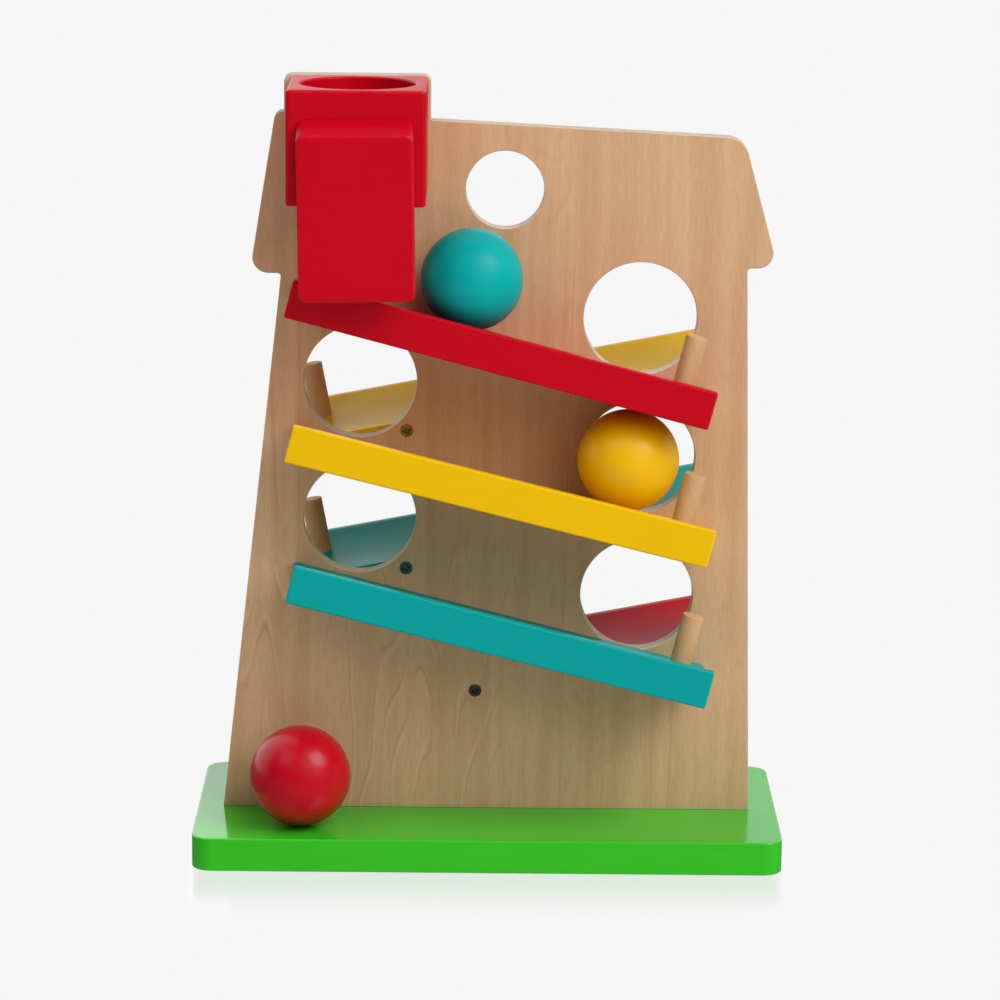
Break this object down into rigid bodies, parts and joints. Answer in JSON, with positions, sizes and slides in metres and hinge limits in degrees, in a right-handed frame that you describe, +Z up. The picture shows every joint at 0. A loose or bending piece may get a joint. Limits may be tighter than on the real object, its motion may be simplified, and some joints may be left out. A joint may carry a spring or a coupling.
{
  "type": "marble run",
  "caption": "Wooden marble run shaped like a house: balls dropped in at the chimney roll down grooved ramps and change sides through round holes in the panel.",
  "frame": {"origin": "centre of the base board's underside", "axes": "+X to the right seen from the front, +Y to the back, +Z up; the ramps in front face -Y"},
  "size_m": [0.2624, 0.1465, 0.3482],
  "materials": {
    "green_paint": "satin paint",
    "plywood": "matt clear",
    "red_paint": "satin paint",
    "yellow_paint": "satin paint",
    "teal_paint": "satin paint",
    "beech": "bare",
    "teal_lacquer": "gloss lacquer",
    "yellow_lacquer": "gloss lacquer",
    "red_lacquer": "gloss lacquer",
    "zinc_screw": "satin"
  },
  "bodies": {
    "house": {"base_board": "green_paint", "house_panel": "plywood", "feed_block": "red_paint", "feed_guard": "red_paint", "front_ramp_red": "red_paint", "front_ramp_yellow": "yellow_paint", "front_ramp_teal": "teal_paint", "rear_ramp_yellow": "yellow_paint", "rear_ramp_teal": "teal_paint", "rear_ramp_red": "red_paint", "front_peg_red": "beech", "front_peg_yellow": "beech", "front_peg_teal": "beech", "rear_peg_yellow": "beech", "rear_peg_teal": "beech", "front_red_screws": "zinc_screw", "front_yellow_screws": "zinc_screw", "front_teal_screws": "zinc_screw", "rear_yellow_screws": "zinc_screw", "rear_teal_screws": "zinc_screw", "rear_red_screws": "zinc_screw", "block_screws": "zinc_screw", "guard_pins": "beech", "base_screws": "zinc_screw"},
    "ball_teal": {"ball_teal": "teal_lacquer"},
    "ball_yellow": {"ball_yellow": "yellow_lacquer"},
    "ball_red": {"ball_red": "red_lacquer"}
  },
  "joints": [
    {"name": "teal_ball_roll", "type": "slide", "parent": "house", "child": "ball_teal", "axis": [0.9677, 0, -0.2521], "range_m": [-0.052, 0.0753]},
    {"name": "yellow_ball_roll", "type": "slide", "parent": "house", "child": "ball_yellow", "axis": [0.9709, 0, -0.2394], "range_m": [-0.125, 0.0034]},
    {"name": "red_ball_roll", "type": "slide", "parent": "house", "child": "ball_red", "axis": [1, 0, 0], "range_m": [-0.038, 0.206]}
  ]
}
